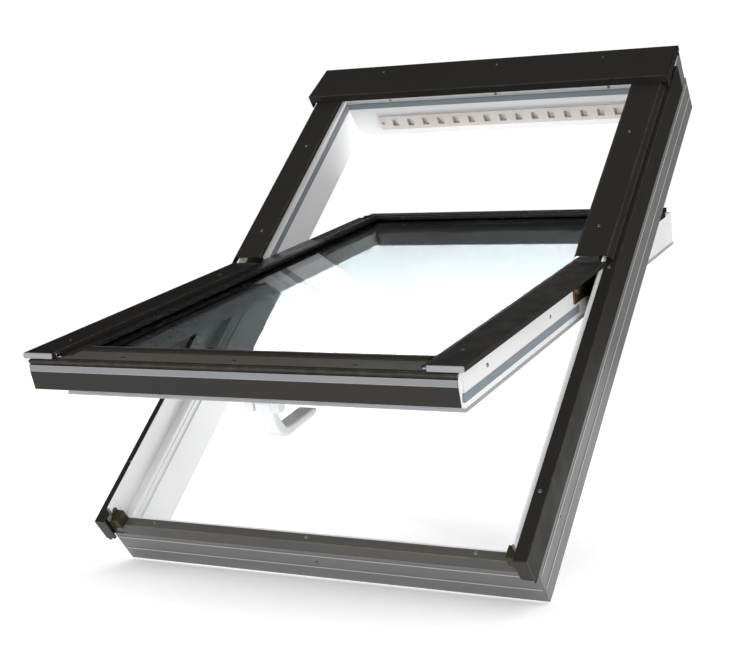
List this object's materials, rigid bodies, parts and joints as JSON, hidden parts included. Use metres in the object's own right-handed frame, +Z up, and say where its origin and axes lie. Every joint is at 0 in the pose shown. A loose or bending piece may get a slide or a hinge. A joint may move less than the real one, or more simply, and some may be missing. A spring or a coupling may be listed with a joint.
{
  "type": "roof skylight",
  "caption": "Centre-pivot roof window with plastic frame and sash, double glazing, dark metal claddings, a vent in the head and a pull handle, shown open.",
  "frame": {"origin": "middle of the lower rail's room-side face", "axes": "+X to the right seen from outside, +Y level towards the house, +Z up, with the window drawn in a roof of 45 degrees"},
  "size_m": [0.7824, 1.1599, 0.9441],
  "materials": {
    "frame_plastic": "satin, white inside and grey on the outer faces",
    "white_plastic": "satin",
    "steel": "galvanised",
    "grey_rubber": "matt",
    "black_rubber": "matt",
    "dark_metal": "satin, dark grey-brown",
    "brown_metal": "satin, brown",
    "brown_plastic": "glossy",
    "olive_plastic": "matt",
    "black_plastic": "matt",
    "vent_plastic": "satin",
    "screw_steel": "plated",
    "bronze": "dull bronze",
    "pane": "clear",
    "spacer_metal": "matt",
    "cap_plastic": "satin",
    "bright_clip": "polished"
  },
  "bodies": {
    "frame": {"frame_rail_left": "frame_plastic", "frame_rail_right": "frame_plastic", "frame_rail_top": "frame_plastic", "frame_rail_bottom": "frame_plastic", "frame_steel_left": "steel", "frame_steel_right": "steel", "frame_steel_top": "steel", "frame_steel_bottom": "steel", "frame_gasket": "grey_rubber", "side_cladding_left": "dark_metal", "side_cladding_right": "dark_metal", "bottom_cladding": "brown_metal", "cladding_end_left": "brown_plastic", "cladding_end_right": "brown_plastic", "corner_block_left": "olive_plastic", "corner_block_right": "olive_plastic", "cover_mount_left": "white_plastic", "cover_mount_right": "white_plastic", "upper_cover_left": "dark_metal", "upper_cover_right": "dark_metal", "top_hood": "dark_metal", "hood_end_left": "black_plastic", "hood_end_right": "black_plastic", "vent_grille": "vent_plastic", "vent_screws": "screw_steel", "hinge_shoe_left": "bronze", "hinge_shoe_right": "bronze", "frame_screws": "screw_steel"},
    "vent_slide": {"vent_shutter": "vent_plastic"},
    "sash": {"sash_rail_left": "white_plastic", "sash_rail_right": "white_plastic", "sash_rail_top": "white_plastic", "sash_rail_bottom": "white_plastic", "sash_steel_left": "steel", "sash_steel_right": "steel", "sash_steel_top": "steel", "sash_steel_bottom": "steel", "sash_lip": "grey_rubber", "sash_gasket": "grey_rubber", "inner_pane": "pane", "glazing_spacer": "spacer_metal", "outer_pane": "pane", "glazing_gasket": "black_rubber", "bead_left": "dark_metal", "bead_right": "dark_metal", "bead_top": "dark_metal", "front_cladding": "brown_metal", "front_end_left": "white_plastic", "front_end_right": "white_plastic", "strip_left": "dark_metal", "strip_right": "dark_metal", "strip_cap_left": "cap_plastic", "strip_cap_right": "cap_plastic", "strip_clips": "bright_clip", "hinge_arm_left": "bronze", "hinge_arm_right": "bronze", "sash_screws": "screw_steel", "handle_base": "white_plastic", "handle_pin": "screw_steel"},
    "lever": {"handle_lever": "white_plastic"}
  },
  "joints": [
    {"name": "sash_pivot", "type": "hinge", "parent": "frame", "child": "sash", "pos_m": [0, 0.28638, 0.51972], "axis": [-1, 0, 0], "range_deg": [-32, 148]},
    {"name": "handle_pull", "type": "hinge", "parent": "sash", "child": "lever", "pos_m": [0, -0.20852, 0.2895], "axis": [-1, 0, 0], "range_deg": [0, 20]},
    {"name": "vent_plate_slide", "type": "slide", "parent": "frame", "child": "vent_slide", "axis": [1, 0, 0], "range_m": [-0.004, 0.012]}
  ]
}
